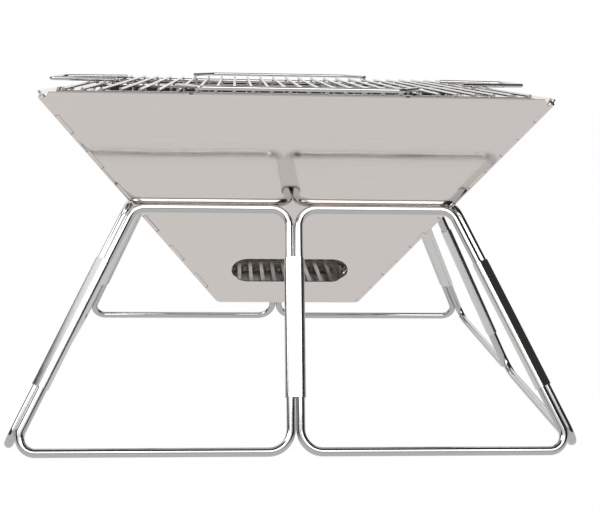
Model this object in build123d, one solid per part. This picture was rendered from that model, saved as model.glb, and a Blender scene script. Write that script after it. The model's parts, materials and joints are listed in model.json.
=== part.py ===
from build123d import *
import math
import os

# A folding camping grill: a four-sided sheet bowl that hangs in a ring of eight rod loops, with a
# charcoal grate and an ash plate in its foot and a wire cooking net on its rim.
# The origin is on the ground under the middle of the bowl, X to the right, Y to the back, Z up.
# All sizes are in millimetres and degrees.

os.makedirs("parts", exist_ok=True)

# Stand: rods and their ring
rod_diameter = 8.2
rod_pair_gap = 0.4
stand_height = 207.0
waist_half_width = 156.0
foot_half_width = 256.0
middle_foot_bend_radius = 20.0
corner_foot_bend_radius = 14.0
waist_bend_radius = 17.0

# Stand: the flattened sleeves that pair the rods
sleeve_wall = 1.0
pivot_clearance = 0.08
open_pivot_clearance = 0.5
middle_sleeve_start = 48.0
middle_sleeve_length = 130.0
corner_sleeve_start = 56.0
corner_sleeve_length = 129.0

# Bowl: four hinged panels
rim_side = 454.0
bowl_foot_side = 147.0
bowl_slope = 54.7
sheet = 1.2
bowl_seat_gap = 0.3
rim_hem_width = 7.0
rim_corner_cut = 9.0
knuckles_per_corner = 13
knuckle_gap = 0.5
hinge_foot_margin = 2.0
hinge_rim_margin = 7.0
pin_diameter = 3.4
pin_clearance = 0.08
notch_clearance = 0.9
open_edge_clearance = 3.3

# Bowl: air slots
slot_length = 117.0
slot_width = 33.0
slot_above_foot = 31.5

# Ash plate and charcoal grate
loose_fit = 0.3
plate_above_foot = 2.0
plate_thickness = 1.5
hearth_corner_cut = 14.0
grate_above_foot = 12.0
grate_frame_width = 6.0
grate_thickness = 3.0
grate_bar_pitch = 12.5
grate_bar_width = 4.0

# Cooking net
net_wire_diameter = 2.8
net_wire_count = 26
net_wire_pitch = 16.15
net_wire_length = 444.0
net_bar_diameter = 4.6
net_bar_overhang = 4.0
net_bar_inset = 18.0
net_weld_gap = 0.05
handle_diameter = 4.0
handle_bend_radius = 7.0
handle_reach = 16.0
long_handle_bar = 172.0
short_handle_bar = 84.0
handle_splay = 20.0
handle_root = 26.0


# Sizes worked out from the ones above
rod_radius = rod_diameter / 2
rod_pitch = rod_diameter + rod_pair_gap
corner_offset = rod_pitch / math.sqrt(2)
foot_axis_height = rod_radius
waist = Vector(0, -waist_half_width, stand_height)
foot = Vector(0, -foot_half_width, foot_axis_height)
leg_slant = (foot - waist).length
leg_down = (foot - waist).normalized()

slope = math.radians(bowl_slope)
panel_out = Vector(0, -math.sin(slope), -math.cos(slope))
panel_up = Vector(0, -math.cos(slope), math.sin(slope))
seat = waist - panel_out * (rod_radius + bowl_seat_gap)
rim_height = seat.Z + (rim_side / 2 + seat.Y) * math.tan(slope)
panel_slant = (rim_side - bowl_foot_side) / 2 / math.cos(slope)
bowl_foot_height = rim_height - panel_slant * math.sin(slope)
knuckle_radius = pin_diameter / 2 + pin_clearance + sheet
rim_left = Vector(-rim_side / 2, -rim_side / 2, rim_height)
foot_left = Vector(-bowl_foot_side / 2, -bowl_foot_side / 2, bowl_foot_height)
corner_up = (rim_left - foot_left).normalized()
corner_length = (rim_left - foot_left).length
corner_overrun = 10.0


def turned(shape, quarter):
    """The shape turned a number of quarters anticlockwise about the grill's middle."""
    return Rot(0, 0, 90 * quarter) * shape


def turned_vector(v, quarter):
    return v.rotate(Axis.Z, 90 * quarter)


def front_line(across):
    """A rod's axis in the front side plane: its top and its foot, where across gives x from the half width."""
    top = Vector(across(waist_half_width), waist.Y, waist.Z)
    bottom = Vector(across(foot_half_width), foot.Y, foot.Z)
    return top, bottom


def middle_line(hand):
    return front_line(lambda half: hand * rod_pitch / 2)


def corner_line(hand):
    return front_line(lambda half: hand * (half - corner_offset))


def bent_rod(points, radii, radius, closed):
    """A round rod along straight runs joined by bends, made run by run and joined face to face."""
    path = FilletPolyline(*points, radius=radii, close=closed)
    pieces = [sweep(Plane(origin=e @ 0, z_dir=e % 0) * Circle(radius), path=e) for e in path.edges()]
    rod = pieces[0]
    for piece in pieces[1:]:
        rod += piece
    return rod


# Stand loops


def leg_loop(hand):
    """One loop of the front side: hand -1 is the left one, 1 the right one."""
    middle_top, middle_foot = middle_line(hand)
    corner_top, corner_foot = corner_line(hand)
    points = [middle_top, middle_foot, corner_foot, corner_top]
    radii = [waist_bend_radius, middle_foot_bend_radius, corner_foot_bend_radius, waist_bend_radius]
    return bent_rod(points, radii, rod_radius, True)


def sleeve_section(plane, near_clearance, far_clearance, far_open):
    """A flattened tube round two rods; its far end may be left open so that the far rod can slide out."""
    outer = rod_radius + pivot_clearance + sleeve_wall
    wall_out = SlotCenterToCenter(rod_pitch, 2 * outer)
    near = rod_radius + near_clearance
    far = rod_radius + far_clearance
    hollow = Pos(-rod_pitch / 2, 0) * Circle(near) + Pos(rod_pitch / 2, 0) * Circle(far)
    hollow += Pos(rod_pitch / 4, 0) * Rectangle(rod_pitch / 2, 2 * far)
    hollow += Pos(-rod_pitch / 4, 0) * Rectangle(rod_pitch / 2, 2 * near)
    if far_open:
        hollow += Pos(rod_pitch / 2 + outer, 0) * Rectangle(2 * outer, 4 * outer)
    return plane * (wall_out - hollow)


def sleeve(first, second, start, length, far_clearance=pivot_clearance, far_open=False):
    """The sleeve round two rods that lie side by side, each given as its top and foot."""
    down = (first[1] - first[0]).normalized()
    across = (second[0] - first[0]).normalized()
    origin = (first[0] + second[0]) * 0.5 + down * start
    plane = Plane(origin=origin, x_dir=across, z_dir=down)
    section = sleeve_section(plane, pivot_clearance, far_clearance, far_open)
    return extrude(section, length, dir=down)


def side_lines(line, quarter):
    return tuple(turned_vector(point, quarter) for point in line)


# Side names by quarter turns anticlockwise, seen from above, from the front side
SIDES = ["front", "right", "back", "left"]


def hand_names(quarter):
    """The names of a side's two loops: its left and right as seen from outside that side."""
    if SIDES[quarter] in ("front", "back"):
        left_first = "left" if quarter == 0 else "right"
        right_first = "right" if quarter == 0 else "left"
    else:
        left_first = "front" if quarter == 1 else "back"
        right_first = "back" if quarter == 1 else "front"
    return {-1: left_first, 1: right_first}


def make_stand():
    parts = {}
    loops = {hand: leg_loop(hand) for hand in (-1, 1)}
    for quarter, side in enumerate(SIDES):
        for hand, name in hand_names(quarter).items():
            parts[f"{side}_{name}_leg_loop"] = turned(loops[hand], quarter)
    for quarter, side in enumerate(SIDES):
        left = side_lines(middle_line(-1), quarter)
        right = side_lines(middle_line(1), quarter)
        if side == "back":
            made = sleeve(right, left, middle_sleeve_start, middle_sleeve_length, open_pivot_clearance, True)
        else:
            made = sleeve(left, right, middle_sleeve_start, middle_sleeve_length)
        parts[f"{side}_middle_sleeve"] = made
    corners = ["front_left", "front_right", "back_right", "back_left"]
    for quarter, corner in enumerate(corners):
        here = side_lines(corner_line(-1), quarter)
        before = side_lines(corner_line(1), quarter - 1)
        parts[f"{corner}_corner_sleeve"] = sleeve(here, before, corner_sleeve_start, corner_sleeve_length)
    return parts


# Bowl panels and pins


def corner_axis(quarter):
    """The hinge pin's axis at a corner: its foot and its upward direction; 0 is the front left corner."""
    left_out = turned_vector(panel_out, -1)
    inward = (panel_out + left_out) * -1
    shift = inward * (knuckle_radius / inward.dot(panel_out * -1))
    return turned_vector(foot_left + shift, quarter), turned_vector(corner_up, quarter)


def knuckle_spans():
    """Start and end of each knuckle along the corner, from the foot."""
    pitch = (corner_length - hinge_foot_margin - hinge_rim_margin) / knuckles_per_corner
    starts = [hinge_foot_margin + i * pitch for i in range(knuckles_per_corner)]
    return [(start + knuckle_gap / 2, start + pitch - knuckle_gap / 2) for start in starts]


panel_plane = Plane(
    origin=Vector(0, -bowl_foot_side / 2, bowl_foot_height), x_dir=Vector(1, 0, 0), z_dir=panel_out
)


def hinge_foot_in_panel():
    """Where the front panel's own plane is nearest the front left pin: foot and top, in panel coordinates."""
    base, up = corner_axis(0)
    low = panel_plane.to_local_coords(base)
    high = panel_plane.to_local_coords(base + up * corner_length)
    return Vector(low.X, low.Y), Vector(high.X, high.Y)


def panel_sheet():
    """The flat sheet of a panel: its outline, air slot, cut rim corners and rounded foot corners."""
    low, high = hinge_foot_in_panel()
    along = (high - low).normalized()

    def edge_x(y):
        return low.X + along.X * (y - low.Y) / along.Y

    cut = rim_corner_cut
    half_foot, half_cut = -edge_x(0), -edge_x(panel_slant - cut)
    half_rim = half_cut - cut * 0.6
    outline = make_face(
        Polyline(
            (-half_foot, 0), (half_foot, 0), (half_cut, panel_slant - cut), (half_rim, panel_slant),
            (-half_rim, panel_slant), (-half_cut, panel_slant - cut), close=True,
        )
    )
    slot = Pos(0, slot_above_foot + slot_width / 2) * SlotOverall(slot_length, slot_width)
    face = outline - slot
    body = extrude(panel_plane * face, sheet, dir=panel_out * -1)
    hem_face = Pos(0, panel_slant - rim_hem_width / 2) * Rectangle(2 * half_rim - 2 * cut, rim_hem_width)
    hem_plane = panel_plane.offset(-sheet)
    hem = extrude(hem_plane * hem_face, sheet, dir=panel_out * -1)
    return body + hem


def knuckle(base, up, start, end):
    plane = Plane(origin=base + up * start, z_dir=up)
    ring = Circle(knuckle_radius) - Circle(pin_diameter / 2 + pin_clearance)
    return extrude(plane * ring, end - start, dir=up)


def notch(base, up, start, end, depth):
    """The room that one panel leaves for a knuckle of its neighbour."""
    plane = Plane(origin=base + up * (start - knuckle_gap), z_dir=up)
    return extrude(plane * Circle(depth), end - start + 2 * knuckle_gap, dir=up)


def corner_cutter(base, up, radius):
    """A round cutter along a whole corner, past both of its ends."""
    plane = Plane(origin=base - up * corner_overrun, z_dir=up)
    return extrude(plane * Circle(radius), corner_length + 2 * corner_overrun, dir=up)


def make_panel(own_left, own_right):
    """The front panel, with the knuckles it owns at its left and right corners; none makes a plain edge."""
    panel = panel_sheet()
    spans = knuckle_spans()
    reach = knuckle_radius + notch_clearance
    for quarter, owned in ((0, own_left), (1, own_right)):
        base, up = corner_axis(quarter)
        if not owned:
            panel -= corner_cutter(base, up, knuckle_radius + open_edge_clearance)
            continue
        for index, (start, end) in enumerate(spans):
            if index not in owned:
                panel -= notch(base, up, start, end, reach)
        panel -= corner_cutter(base, up, knuckle_radius - sheet)
        for index in owned:
            panel += knuckle(base, up, *spans[index])
    return panel


def hinge_pin(quarter):
    base, up = corner_axis(quarter)
    plane = Plane(origin=base + up * hinge_foot_margin, z_dir=up)
    length = corner_length - hinge_foot_margin - hinge_rim_margin
    return extrude(plane * Circle(pin_diameter / 2), length, dir=up)


def make_bowl():
    """Even knuckles from the foot belong to the panel on the corner's right, odd ones to its left."""
    parts = {}
    every = set(range(knuckles_per_corner))
    even = {i for i in every if i % 2 == 0}
    odd = every - even
    # At the back left corner, where the ring of panels opens, the back panel carries every knuckle.
    owned = {"front": (even, odd), "right": (even, odd), "back": (even, every), "left": (set(), odd)}
    for quarter, side in enumerate(SIDES):
        parts[f"{side}_panel"] = turned(make_panel(*owned[side]), quarter)
    for quarter, corner in enumerate(["front_left", "front_right", "back_right", "back_left"]):
        parts[f"{corner}_hinge_pin"] = hinge_pin(quarter)
    return parts


# Ash plate and charcoal grate


def inner_half(height):
    """Half the bowl's clear width inside its sheets at a height above the ground."""
    outer = bowl_foot_side / 2 + (height - bowl_foot_height) / math.tan(slope)
    return outer - sheet / math.sin(slope)


def chamfered_square(half, cut):
    return chamfer(Rectangle(2 * half, 2 * half).vertices(), cut)


def tapered_block(low, high, gap):
    """A block that fills the bowl's taper between two heights, a gap clear of the sheets."""
    inset = gap / math.sin(slope)
    bottom = Plane.XY.offset(low) * chamfered_square(inner_half(low) - inset, hearth_corner_cut)
    top = Plane.XY.offset(high) * chamfered_square(inner_half(high) - inset, hearth_corner_cut)
    return loft(Sketch() + [bottom, top])


def ash_plate():
    low = bowl_foot_height + plate_above_foot
    return tapered_block(low, low + plate_thickness, loose_fit)


def charcoal_grate():
    """A square frame with bars from front to back, wedged in the bowl's taper above the ash plate."""
    low = bowl_foot_height + grate_above_foot
    high = low + grate_thickness
    outside = tapered_block(low, high, loose_fit)
    clear = inner_half(low) - loose_fit / math.sin(slope) - grate_frame_width
    window = chamfered_square(clear, hearth_corner_cut)
    frame = outside - extrude(Plane.XY.offset(low) * window, grate_thickness)
    count = int(2 * clear / grate_bar_pitch)
    bar = Box(grate_bar_width, 2 * clear, grate_thickness, align=(Align.CENTER, Align.CENTER, Align.MIN))
    limit = extrude(Plane.XY.offset(low) * window, grate_thickness)
    for i in range(count):
        x = (i - (count - 1) / 2) * grate_bar_pitch
        frame += (Pos(x, 0, low) * bar) & limit
    return frame


# Cooking net
rim_top = rim_height + 2 * sheet * math.cos(slope)
net_bar_height = rim_top + loose_fit + net_bar_diameter / 2
net_bar_y = rim_side / 2 - net_bar_inset
net_front_height = rim_top + loose_fit + net_wire_diameter / 2
net_back_height = net_bar_height + net_bar_diameter / 2 + net_weld_gap + net_wire_diameter / 2
net_front_y = -rim_side / 2
net_tilt = math.atan2(net_back_height - net_front_height, net_bar_y - net_front_y)
net_along = Vector(0, math.cos(net_tilt), math.sin(net_tilt))
net_up = Vector(0, -math.sin(net_tilt), math.cos(net_tilt))
net_middle = Vector(0, 0, net_front_height - net_front_y * math.tan(net_tilt))
net_plane = Plane(origin=net_middle, x_dir=Vector(1, 0, 0), z_dir=net_up)
net_half_width = (net_wire_count - 1) / 2 * net_wire_pitch


def rod_between(start, end, diameter):
    axis = (end - start).normalized()
    return extrude(Plane(origin=start, z_dir=axis) * Circle(diameter / 2), (end - start).length, dir=axis)


def net_wires():
    wires = []
    for i in range(net_wire_count):
        x = (i - (net_wire_count - 1) / 2) * net_wire_pitch
        half = net_along * (net_wire_length / 2)
        start = net_middle + Vector(x, 0, 0) - half
        wires.append(rod_between(start, start + half * 2, net_wire_diameter))
    return Compound(children=wires)


def net_bar(local_y, half_length):
    """A round bar welded under the wires."""
    drop = (net_bar_diameter + net_wire_diameter) / 2 + net_weld_gap
    centre = net_middle + net_along * (local_y / math.cos(net_tilt)) - net_up * drop
    reach = Vector(half_length, 0, 0)
    return rod_between(centre - reach, centre + reach, net_bar_diameter)


def net_handle(bar_length, edge_half, lift_side, quarter):
    """A bent wire grip that lies on the net's edge and reaches out over the rim; made facing the front."""
    lift = (net_wire_diameter + handle_diameter) / 2 + net_weld_gap
    root_y = -edge_half + handle_root
    tip_y = -rim_side / 2 - handle_reach
    root_half = bar_length / 2 + handle_splay
    flat = [(-root_half, root_y), (-bar_length / 2, tip_y), (bar_length / 2, tip_y), (root_half, root_y)]
    points = []
    for x, y in flat:
        spot = turned_vector(Vector(x, y, 0), quarter)
        points.append(net_plane.from_local_coords(Vector(spot.X, spot.Y, lift * lift_side)))
    return bent_rod(points, handle_bend_radius, handle_diameter / 2, False)


def make_net():
    parts = {"net_wires": net_wires()}
    # The back bar rests on the side rims, the others hang inside the front rim.
    inside_reach = net_half_width + net_bar_overhang
    parts["back_net_bar"] = net_bar(net_bar_y, rim_side / 2 + net_bar_overhang)
    parts["middle_net_bar"] = net_bar(0, inside_reach)
    parts["front_net_bar"] = net_bar(-net_bar_y, inside_reach)
    ends = net_wire_length / 2
    parts["front_net_handle"] = net_handle(long_handle_bar, ends, 1, 0)
    parts["back_net_handle"] = net_handle(long_handle_bar, ends, 1, 2)
    parts["right_net_handle"] = net_handle(short_handle_bar, net_half_width, 1, 1)
    parts["left_net_handle"] = net_handle(short_handle_bar, net_half_width, 1, 3)
    return parts


def make_all():
    parts = {}
    parts.update(make_stand())
    parts.update(make_bowl())
    parts["ash_plate"] = ash_plate()
    parts["charcoal_grate"] = charcoal_grate()
    parts.update(make_net())
    return parts


for node_name, shape in make_all().items():
    export_step(shape, f"parts/{node_name}.step")
    box = shape.bounding_box()
    print(f"{node_name}: {len(shape.solids())} solids, {shape.volume:.0f} mm3, top {box.max.Z:.1f}")
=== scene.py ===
import json
import math

import bmesh
import bpy
from mathutils import Matrix, Vector


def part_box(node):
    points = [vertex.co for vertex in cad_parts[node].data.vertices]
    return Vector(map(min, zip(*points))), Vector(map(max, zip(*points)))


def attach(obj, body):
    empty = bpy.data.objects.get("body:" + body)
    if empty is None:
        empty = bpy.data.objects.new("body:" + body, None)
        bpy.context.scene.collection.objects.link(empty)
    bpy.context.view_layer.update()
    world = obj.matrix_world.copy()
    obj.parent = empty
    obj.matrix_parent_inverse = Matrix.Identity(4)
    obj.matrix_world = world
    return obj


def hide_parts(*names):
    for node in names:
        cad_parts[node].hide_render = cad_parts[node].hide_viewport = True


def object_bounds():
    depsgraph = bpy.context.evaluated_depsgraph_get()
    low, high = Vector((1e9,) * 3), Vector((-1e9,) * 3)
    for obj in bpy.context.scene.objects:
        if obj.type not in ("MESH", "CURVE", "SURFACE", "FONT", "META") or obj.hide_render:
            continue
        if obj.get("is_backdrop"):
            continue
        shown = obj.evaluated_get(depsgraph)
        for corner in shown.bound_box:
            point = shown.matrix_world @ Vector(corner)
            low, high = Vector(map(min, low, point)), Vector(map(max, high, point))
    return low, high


# A folding camping grill in polished sheet steel and bright plated rod, seen from the front.
# The CAD frame gives every piece its place; all lengths here are metres.

bl_info = {
    "name": "Folding camping grill",
    "version": (1, 0, 0),
    "blender": (4, 5, 0),
    "location": "3D View > Sidebar > Grill",
    "description": "Dresses the camping grill and sets its studio",
    "category": "Object",
}

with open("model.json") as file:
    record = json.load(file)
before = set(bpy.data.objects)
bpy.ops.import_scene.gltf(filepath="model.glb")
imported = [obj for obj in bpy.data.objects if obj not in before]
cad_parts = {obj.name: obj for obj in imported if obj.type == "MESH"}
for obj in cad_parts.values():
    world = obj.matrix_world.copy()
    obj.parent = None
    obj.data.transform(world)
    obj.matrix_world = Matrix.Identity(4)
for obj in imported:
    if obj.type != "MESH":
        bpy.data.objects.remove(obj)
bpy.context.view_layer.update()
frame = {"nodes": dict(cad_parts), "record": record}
MM = 0.001

# Sizes that repeat the CAD source's
NET_WIRE_COUNT = 26
NET_WIRE_DIAMETER = 2.8 * MM
NET_BARS = ("front_net_bar", "middle_net_bar", "back_net_bar")

# Second tones and blurs of the finishes
SHEET_SHADE = "#E4DDD9"
PIN_COLOUR = "#B9B8B5"
PIN_ROUGHNESS = 0.25
SLEEVE_ROUGHNESS = 0.16
WIRE_ROUGHNESS = 0.12
MOTTLE_SIZE = 6 * MM
CLOUD_SIZE = 12 * MM

# The floor paper: its white for the camera and for mirrors, and how much of it is that flat white
PAPER_SEEN = 1.03
PAPER_MIRRORED = 0.72
PAPER_FLAT_SHARE = 0.94
FLOOR_DROP = 0.4 * MM

# The room that the metal mirrors: the darkest a flag gets
FLAG_BLACK = 0.035

PICTURE_WIDTH = 600
SENSOR_WIDTH = 36.0


# Sizes and finishes a user may change


class GrillSheetSettings(bpy.types.PropertyGroup):
    panel_colour: bpy.props.StringProperty(
        name="Panel colour", description="Tint of the polished bowl sheet, as sRGB hex", default="#EBE4E0"
    )
    panel_roughness: bpy.props.FloatProperty(
        name="Panel roughness", description="Blur of the sheet's reflections", default=0.06, min=0.0, max=1.0
    )
    grain_width: bpy.props.FloatProperty(
        name="Polish grain", description="Width of one polishing line, drawn coarser than the real grit",
        default=0.9 * MM, unit="LENGTH",
    )
    buckle_size: bpy.props.FloatProperty(
        name="Sheet ripple", description="Width of the slow ripples that thin sheet keeps after pressing",
        default=70 * MM, unit="LENGTH",
    )


class GrillRodSettings(bpy.types.PropertyGroup):
    plating_colour: bpy.props.StringProperty(
        name="Plating colour", description="Tint of the bright plating, as sRGB hex", default="#CACAC9"
    )
    plating_roughness: bpy.props.FloatProperty(
        name="Plating roughness", description="Blur of the rod's reflections", default=0.09, min=0.0, max=1.0
    )
    sleeve_colour: bpy.props.StringProperty(
        name="Sleeve colour", description="Tint of the flattened sleeves, as sRGB hex", default="#E4E3E1"
    )


class GrillNetSettings(bpy.types.PropertyGroup):
    wire_colour: bpy.props.StringProperty(
        name="Wire colour", description="Tint of the net's plated wire, as sRGB hex", default="#CACAC9"
    )
    weld_length: bpy.props.FloatProperty(
        name="Weld length", description="Length of the flat spot weld where a wire crosses a bar",
        default=5.0 * MM, unit="LENGTH",
    )
    weld_height: bpy.props.FloatProperty(
        name="Weld height", description="Height of a spot weld between the wire and the bar",
        default=1.6 * MM, unit="LENGTH",
    )


class GrillStudioSettings(bpy.types.PropertyGroup):
    camera_place: bpy.props.FloatVectorProperty(
        name="Camera place", description="Where the photograph was taken from", size=3, unit="LENGTH",
        default=(-0.05573, -1.14278, 0.34458),
    )
    camera_yaw: bpy.props.FloatProperty(
        name="Camera yaw", description="Turn of the view to the right of straight back", default=3.62
    )
    camera_pitch: bpy.props.FloatProperty(
        name="Camera pitch", description="How far the view looks down, in degrees", default=10.664
    )
    camera_roll: bpy.props.FloatProperty(
        name="Camera roll", description="Lean of the photograph, in degrees", default=1.016
    )
    focal_pixels: bpy.props.FloatProperty(
        name="Focal length in pixels", description="For a picture 600 pixels wide", default=1056.15
    )


# Small helpers


def srgb(text):
    """An sRGB hex colour as the linear colour that the shaders take."""
    values = [int(text[i:i + 2], 16) / 255 for i in (1, 3, 5)]
    linear = [v / 12.92 if v <= 0.04045 else ((v + 0.055) / 1.055) ** 2.4 for v in values]
    return (*linear, 1.0)


def add_node(tree, kind, links=None, **settings):
    """One node in a tree: settings by attribute, then values or links by input name."""
    node = tree.nodes.new(kind)
    for name, value in settings.items():
        setattr(node, name, value)
    for name, value in (links or {}).items():
        if isinstance(value, bpy.types.NodeSocket):
            tree.links.new(value, node.inputs[name])
        else:
            node.inputs[name].default_value = value
    return node


def new_material(name):
    material = bpy.data.materials.new(name)
    material.use_nodes = True
    material.node_tree.nodes.clear()
    return material


def close_material(material, surface):
    add_node(material.node_tree, "ShaderNodeOutputMaterial", {"Surface": surface})
    return material


def new_object(name, mesh, body, material):
    piece = bpy.data.objects.new(name, mesh)
    bpy.context.scene.collection.objects.link(piece)
    mesh.materials.clear()
    mesh.materials.append(material)
    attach(piece, body)
    return piece


def body_of_node(node):
    for body, members in frame["record"]["behaviour"]["bodies"].items():
        if node in members:
            return body
    raise RuntimeError(f"no body holds {node}")


def dress(node, material, sharp_degrees=32):
    """A merged, smoothly shaded copy of a CAD node stands for it, so bent metal reflects without facets."""
    mesh = frame["nodes"][node].data.copy()
    mesh.name = f"{node}_skin"
    shell = bmesh.new()
    shell.from_mesh(mesh)
    bmesh.ops.remove_doubles(shell, verts=shell.verts, dist=0.002 * MM)
    for face in shell.faces:
        face.smooth = True
    for edge in shell.edges:
        edge.smooth = edge.is_manifold and edge.calc_face_angle(0) < math.radians(sharp_degrees)
    shell.to_mesh(mesh)
    shell.free()
    piece = new_object(f"{node}_skin", mesh, body_of_node(node), material)
    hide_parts(node)
    return piece


# Materials


def bright_plating(name, colour, roughness):
    """Bright plating on drawn steel: near mirror, with a faint mottle that only softens the highlights."""
    material = new_material(name)
    tree = material.node_tree
    place = add_node(tree, "ShaderNodeTexCoord")
    mottle = add_node(
        tree, "ShaderNodeTexNoise",
        {"Vector": place.outputs["Object"], "Scale": 1 / MOTTLE_SIZE, "Detail": 3.0, "Roughness": 0.6},
    )
    rough = add_node(
        tree, "ShaderNodeMapRange",
        {"Value": mottle.outputs["Fac"], "From Min": 0.3, "From Max": 0.7,
         "To Min": roughness * 0.75, "To Max": roughness * 1.4},
    )
    bump = add_node(
        tree, "ShaderNodeBump",
        {"Height": mottle.outputs["Fac"], "Strength": 0.04, "Distance": 0.05 * MM},
    )
    metal = add_node(
        tree, "ShaderNodeBsdfPrincipled",
        {"Base Color": srgb(colour), "Metallic": 1.0, "Roughness": rough.outputs["Result"],
         "Normal": bump.outputs["Normal"]},
    )
    return close_material(material, metal.outputs["BSDF"])


def polished_sheet(name, colour, roughness, grain, ripple, along):
    """Bright-rolled stainless sheet: hairlines along one axis and slow ripples bend its mirror a little."""
    material = new_material(name)
    tree = material.node_tree
    place = add_node(tree, "ShaderNodeTexCoord")
    stretch = (0.02, 1.0, 1.0) if along == "x" else (1.0, 0.02, 1.0)
    lines_at = add_node(tree, "ShaderNodeMapping", {"Vector": place.outputs["Object"], "Scale": stretch})
    lines = add_node(
        tree, "ShaderNodeTexNoise", {"Vector": lines_at.outputs["Vector"], "Scale": 1 / grain, "Detail": 2.0}
    )
    slow = add_node(
        tree, "ShaderNodeTexNoise", {"Vector": place.outputs["Object"], "Scale": 1 / ripple, "Detail": 1.0}
    )
    rough = add_node(
        tree, "ShaderNodeMapRange",
        {"Value": lines.outputs["Fac"], "From Min": 0.3, "From Max": 0.7,
         "To Min": roughness * 0.7, "To Max": roughness * 1.35},
    )
    ripples = add_node(
        tree, "ShaderNodeBump", {"Height": slow.outputs["Fac"], "Strength": 0.3, "Distance": 0.4 * MM}
    )
    hairlines = add_node(
        tree, "ShaderNodeBump",
        {"Height": lines.outputs["Fac"], "Strength": 0.02, "Distance": 0.02 * MM,
         "Normal": ripples.outputs["Normal"]},
    )
    tint = add_node(
        tree, "ShaderNodeMixRGB",
        {"Fac": lines.outputs["Fac"], "Color1": srgb(colour), "Color2": srgb(SHEET_SHADE)},
    )
    metal = add_node(
        tree, "ShaderNodeBsdfPrincipled",
        {"Base Color": tint.outputs["Color"], "Metallic": 1.0, "Roughness": rough.outputs["Result"],
         "Normal": hairlines.outputs["Normal"]},
    )
    return close_material(material, metal.outputs["BSDF"])


def hearth_steel(name):
    """Mill-finish stainless bar, duller than the bowl, with a cloudy surface."""
    material = new_material(name)
    tree = material.node_tree
    place = add_node(tree, "ShaderNodeTexCoord")
    cloud = add_node(
        tree, "ShaderNodeTexNoise",
        {"Vector": place.outputs["Object"], "Scale": 1 / CLOUD_SIZE, "Detail": 4.0},
    )
    tint = add_node(
        tree, "ShaderNodeMixRGB",
        {"Fac": cloud.outputs["Fac"], "Color1": srgb("#C9C6C2"), "Color2": srgb("#A9A5A0")},
    )
    rough = add_node(
        tree, "ShaderNodeMapRange", {"Value": cloud.outputs["Fac"], "To Min": 0.22, "To Max": 0.42}
    )
    metal = add_node(
        tree, "ShaderNodeBsdfPrincipled",
        {"Base Color": tint.outputs["Color"], "Metallic": 1.0, "Roughness": rough.outputs["Result"]},
    )
    return close_material(material, metal.outputs["BSDF"])


# Pieces


class GRILL_OT_stand(bpy.types.Operator):
    """Dresses the eight leg loops and the eight flattened sleeves."""

    bl_idname = "grill.stand"
    bl_label = "Stand"

    def execute(self, context):
        rods = context.scene.grill_rods
        plating = bright_plating("bright_plated_rod", rods.plating_colour, rods.plating_roughness)
        satin = bright_plating("pressed_sleeve_sheet", rods.sleeve_colour, SLEEVE_ROUGHNESS)
        for node in frame["nodes"]:
            if node.endswith("leg_loop"):
                dress(node, plating)
            elif node.endswith("sleeve"):
                dress(node, satin)
        return {"FINISHED"}


class GRILL_OT_bowl(bpy.types.Operator):
    """Dresses the four hinged panels and their pins."""

    bl_idname = "grill.bowl"
    bl_label = "Bowl"

    def execute(self, context):
        sheet = context.scene.grill_sheet
        args = (sheet.panel_colour, sheet.panel_roughness, sheet.grain_width, sheet.buckle_size)
        across = polished_sheet("polished_stainless_front_back", *args, "x")
        deep = polished_sheet("polished_stainless_sides", *args, "y")
        pin_steel = bright_plating("bare_steel_pin", PIN_COLOUR, PIN_ROUGHNESS)
        for node in frame["nodes"]:
            if node in ("front_panel", "back_panel"):
                dress(node, across)
            elif node.endswith("panel"):
                dress(node, deep)
            elif node.endswith("hinge_pin"):
                dress(node, pin_steel)
        return {"FINISHED"}


class GRILL_OT_hearth(bpy.types.Operator):
    """Dresses the ash plate and the charcoal grate."""

    bl_idname = "grill.hearth"
    bl_label = "Hearth"

    def execute(self, context):
        steel = hearth_steel("mill_finish_stainless")
        for node in ("ash_plate", "charcoal_grate"):
            dress(node, steel)
        return {"FINISHED"}


def weld_spots_tree(material):
    """Flattened beads of fused wire, one at each place given as a point of the mesh."""
    tree = bpy.data.node_groups.new("weld_spots", "GeometryNodeTree")
    sockets = {}
    for name, kind in (
        ("Geometry", "NodeSocketGeometry"), ("Length", "NodeSocketFloat"),
        ("Width", "NodeSocketFloat"), ("Height", "NodeSocketFloat"),
    ):
        sockets[name] = tree.interface.new_socket(name, in_out="INPUT", socket_type=kind).identifier
    tree.interface.new_socket("Geometry", in_out="OUTPUT", socket_type="NodeSocketGeometry")
    given = add_node(tree, "NodeGroupInput")
    bead = add_node(tree, "GeometryNodeMeshUVSphere", {"Segments": 10, "Rings": 6, "Radius": 0.5})
    size = add_node(
        tree, "ShaderNodeCombineXYZ",
        {"X": given.outputs["Width"], "Y": given.outputs["Length"], "Z": given.outputs["Height"]},
    )
    spread = add_node(
        tree, "FunctionNodeRandomValue", {"Seed": 7}, data_type="FLOAT",
    )
    spread.inputs["Min"].default_value = 0.8
    spread.inputs["Max"].default_value = 1.15
    varied = add_node(
        tree, "ShaderNodeVectorMath", {0: size.outputs["Vector"]}, operation="SCALE",
    )
    tree.links.new(spread.outputs["Value"], varied.inputs["Scale"])
    beads = add_node(
        tree, "GeometryNodeInstanceOnPoints",
        {"Points": given.outputs["Geometry"], "Instance": bead.outputs["Mesh"],
         "Scale": varied.outputs["Vector"]},
    )
    real = add_node(tree, "GeometryNodeRealizeInstances", {"Geometry": beads.outputs["Instances"]})
    smooth = add_node(tree, "GeometryNodeSetShadeSmooth", {"Geometry": real.outputs["Geometry"]})
    coated = add_node(
        tree, "GeometryNodeSetMaterial", {"Geometry": smooth.outputs["Geometry"], "Material": material}
    )
    add_node(tree, "NodeGroupOutput", {"Geometry": coated.outputs["Geometry"]})
    return tree, sockets


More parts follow.
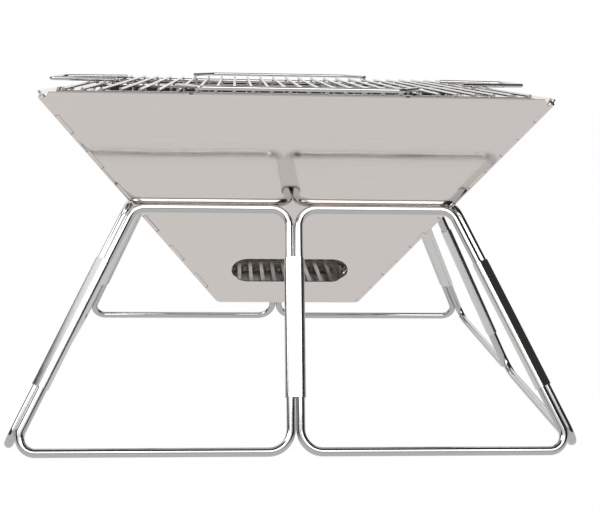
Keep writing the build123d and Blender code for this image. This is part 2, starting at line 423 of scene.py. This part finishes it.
def grown(name, points, tree, sockets, values):
    """The plain mesh that a Geometry Nodes tree makes from bare points."""
    seedbed = bpy.data.meshes.new(f"{name}_points")
    seedbed.from_pydata(points, [], [])
    carrier = bpy.data.objects.new(f"{name}_carrier", seedbed)
    bpy.context.scene.collection.objects.link(carrier)
    modifier = carrier.modifiers.new(name, "NODES")
    modifier.node_group = tree
    for key, value in values.items():
        modifier[sockets[key]] = value
    bpy.context.view_layer.update()
    evaluated = carrier.evaluated_get(bpy.context.evaluated_depsgraph_get())
    mesh = bpy.data.meshes.new_from_object(evaluated)
    mesh.name = name
    bpy.data.objects.remove(carrier)
    return mesh


class GRILL_OT_net(bpy.types.Operator):
    """Dresses the cooking net and adds the spot welds where its wires cross the bars."""

    bl_idname = "grill.net"
    bl_label = "Cooking net"

    def execute(self, context):
        net = context.scene.grill_net
        wire = bright_plating("bright_plated_wire", net.wire_colour, WIRE_ROUGHNESS)
        nodes = [n for n in frame["nodes"] if n.startswith("net_") or n.endswith(("net_bar", "net_handle"))]
        for node in nodes:
            dress(node, wire)
        low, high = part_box("net_wires")
        pitch = (high.x - low.x - NET_WIRE_DIAMETER) / (NET_WIRE_COUNT - 1)
        points = []
        for bar in NET_BARS:
            bar_low, bar_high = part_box(bar)
            y = (bar_low.y + bar_high.y) / 2
            for i in range(NET_WIRE_COUNT):
                points.append((low.x + NET_WIRE_DIAMETER / 2 + i * pitch, y, bar_high.z))
        tree, sockets = weld_spots_tree(wire)
        values = {"Length": net.weld_length, "Width": NET_WIRE_DIAMETER * 1.15, "Height": net.weld_height}
        mesh = grown("net_weld_spots", points, tree, sockets, values)
        new_object("net_weld_spots", mesh, "cooking_net", wire)
        return {"FINISHED"}


# Studio


def white_where_seen(tree, shade_shader, strength, share, mirrored):
    """Mixes a shader with flat white for the camera, and with a dimmer white for the metal to mirror."""
    path = add_node(tree, "ShaderNodeLightPath")
    level = add_node(
        tree, "ShaderNodeMapRange",
        {"Value": path.outputs["Is Camera Ray"], "To Min": mirrored, "To Max": strength},
    )
    seen = add_node(
        tree, "ShaderNodeMath",
        {0: path.outputs["Is Camera Ray"], 1: path.outputs["Is Glossy Ray"]}, operation="MAXIMUM",
    )
    seen_all = add_node(
        tree, "ShaderNodeMath",
        {0: seen.outputs[0], 1: path.outputs["Is Transmission Ray"]}, operation="MAXIMUM",
    )
    part = add_node(tree, "ShaderNodeMath", {0: seen_all.outputs[0], 1: share}, operation="MULTIPLY")
    white = add_node(tree, "ShaderNodeEmission", {"Color": (1, 1, 1, 1), "Strength": level.outputs["Result"]})
    mixed = add_node(tree, "ShaderNodeMixShader", {"Fac": part.outputs[0]})
    tree.links.new(shade_shader, mixed.inputs[1])
    tree.links.new(white.outputs["Emission"], mixed.inputs[2])
    return mixed.outputs["Shader"]


def floor_paint():
    """Seamless white studio paper, lit to white with only a breath of shadow."""
    material = new_material("white_studio_paper")
    tree = material.node_tree
    paper = add_node(tree, "ShaderNodeBsdfDiffuse", {"Color": srgb("#F2F2F2")})
    white = white_where_seen(tree, paper.outputs["BSDF"], PAPER_SEEN, PAPER_FLAT_SHARE, PAPER_MIRRORED)
    return close_material(material, white)


def plane_mesh(name, half_x, y_near, y_far, z):
    mesh = bpy.data.meshes.new(name)
    corners = [(-half_x, y_near, z), (half_x, y_near, z), (half_x, y_far, z), (-half_x, y_far, z)]
    mesh.from_pydata(corners, [], [(0, 1, 2, 3)])
    return mesh


def soft_light(name, place, aim, width, height, watts):
    lamp = bpy.data.lights.new(name, "AREA")
    lamp.shape = "RECTANGLE"
    lamp.size = width
    lamp.size_y = height
    lamp.energy = watts
    piece = bpy.data.objects.new(name, lamp)
    piece.location = place
    piece.rotation_euler = (Vector(aim) - Vector(place)).to_track_quat("-Z", "Y").to_euler()
    bpy.context.scene.collection.objects.link(piece)


def studio_world():
    """White where the camera looks past the grill, and a room with dark flags for the metal to mirror."""
    world = bpy.data.worlds.new("studio_room")
    world.use_nodes = True
    tree = world.node_tree
    tree.nodes.clear()
    place = add_node(tree, "ShaderNodeTexCoord")
    parts = add_node(tree, "ShaderNodeSeparateXYZ", {"Vector": place.outputs["Generated"]})

    def ramp(axis, start, end, low, high):
        node = add_node(
            tree, "ShaderNodeMapRange",
            {"Value": parts.outputs[axis], "From Min": start, "From Max": end, "To Min": low, "To Max": high},
            interpolation_type="SMOOTHSTEP",
        )
        return node.outputs["Result"]

    def product(first, second):
        return add_node(tree, "ShaderNodeMath", {0: first, 1: second}, operation="MULTIPLY").outputs[0]

    def inverse(value):
        return add_node(tree, "ShaderNodeMath", {0: 1.0, 1: value}, operation="SUBTRACT").outputs[0]

    # Dark flags: the whole right side, a low strip on the left, the front part of the ceiling,
    # and a half-dark low front.
    right_flag = ramp("X", 0.25, 0.6, 0.0, 1.0)
    left_strip = product(ramp("X", -0.62, -0.8, 0.0, 1.0), ramp("Z", 0.46, 0.38, 0.0, 1.0))
    ceiling = product(ramp("Z", 0.70, 0.80, 0.0, 1.0), ramp("Y", 0.45, 0.15, 0.0, 1.0))
    low_front = product(ramp("Y", -0.35, -0.6, 0.0, 0.5), ramp("Z", 0.38, 0.2, 0.0, 1.0))
    open_room = product(inverse(right_flag), inverse(left_strip))
    open_room = product(open_room, product(inverse(ceiling), inverse(low_front)))
    room = add_node(tree, "ShaderNodeMath", {0: open_room, 1: FLAG_BLACK}, operation="MAXIMUM")
    dim = add_node(tree, "ShaderNodeBackground", {"Color": (1, 1, 1, 1), "Strength": room.outputs[0]})
    white = add_node(tree, "ShaderNodeBackground", {"Color": (1, 1, 1, 1), "Strength": 1.0})
    path = add_node(tree, "ShaderNodeLightPath")
    mixed = add_node(tree, "ShaderNodeMixShader", {"Fac": path.outputs["Is Camera Ray"]})
    tree.links.new(dim.outputs[0], mixed.inputs[1])
    tree.links.new(white.outputs[0], mixed.inputs[2])
    add_node(tree, "ShaderNodeOutputWorld", {"Surface": mixed.outputs["Shader"]})
    bpy.context.scene.world = world


class GRILL_OT_studio(bpy.types.Operator):
    """Sets the floor, the lights, the room and the camera."""

    bl_idname = "grill.studio"
    bl_label = "Studio"

    def execute(self, context):
        scene = context.scene
        studio = scene.grill_studio
        scene.view_settings.view_transform = "Standard"
        floor_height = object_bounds()[0][2] - FLOOR_DROP
        floor = bpy.data.objects.new("studio_floor", plane_mesh("studio_floor", 6.0, -4.0, 8.0, floor_height))
        scene.collection.objects.link(floor)
        floor.data.materials.append(floor_paint())
        floor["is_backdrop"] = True
        studio_world()
        soft_light("key_softbox", (-1.7, -0.6, 1.2), (0, 0, 0.15), 1.0, 1.0, 8)
        soft_light("front_softbox", (0.1, -1.7, 1.45), (0, 0, 0.2), 2.2, 0.7, 16)
        self.add_camera(scene, studio)
        return {"FINISHED"}

    def add_camera(self, scene, studio):
        angles = (studio.camera_yaw, studio.camera_pitch, studio.camera_roll)
        yaw, pitch, roll = (math.radians(angle) for angle in angles)
        forward = Vector((math.sin(yaw) * math.cos(pitch), math.cos(yaw) * math.cos(pitch), -math.sin(pitch)))
        level = Vector((math.cos(yaw), -math.sin(yaw), 0))
        upright = level.cross(forward)
        right = level * math.cos(roll) + upright * math.sin(roll)
        up = upright * math.cos(roll) - level * math.sin(roll)
        lens = bpy.data.cameras.new("photo_camera")
        lens.sensor_fit = "HORIZONTAL"
        lens.sensor_width = SENSOR_WIDTH
        lens.lens = studio.focal_pixels * SENSOR_WIDTH / PICTURE_WIDTH
        camera = bpy.data.objects.new("photo_camera", lens)
        turn = Matrix((right, up, -forward)).transposed().to_4x4()
        camera.matrix_world = Matrix.Translation(studio.camera_place) @ turn
        scene.collection.objects.link(camera)
        scene.camera = camera


# Panel and registration


class GRILL_PT_panel(bpy.types.Panel):
    bl_idname = "GRILL_PT_panel"
    bl_label = "Camping grill"
    bl_space_type = "VIEW_3D"
    bl_region_type = "UI"
    bl_category = "Grill"

    def draw(self, context):
        for operator in OPERATORS:
            self.layout.operator(operator.bl_idname)
        for settings in SETTINGS:
            group = getattr(context.scene, settings)
            for name in group.bl_rna.properties.keys():
                if name not in ("rna_type", "name"):
                    self.layout.prop(group, name)


SETTINGS = {
    "grill_sheet": GrillSheetSettings,
    "grill_rods": GrillRodSettings,
    "grill_net": GrillNetSettings,
    "grill_studio": GrillStudioSettings,
}
OPERATORS = (GRILL_OT_stand, GRILL_OT_bowl, GRILL_OT_hearth, GRILL_OT_net, GRILL_OT_studio)


def register():
    for settings, group in SETTINGS.items():
        bpy.utils.register_class(group)
        setattr(bpy.types.Scene, settings, bpy.props.PointerProperty(type=group))
    for item in (*OPERATORS, GRILL_PT_panel):
        bpy.utils.register_class(item)


def unregister():
    for item in (GRILL_PT_panel, *reversed(OPERATORS)):
        bpy.utils.unregister_class(item)
    for settings, group in SETTINGS.items():
        delattr(bpy.types.Scene, settings)
        bpy.utils.unregister_class(group)


def main():
    register()
    bpy.ops.grill.stand()
    bpy.ops.grill.bowl()
    bpy.ops.grill.hearth()
    bpy.ops.grill.net()
    bpy.ops.grill.studio()


if __name__ == "__main__":
    main()
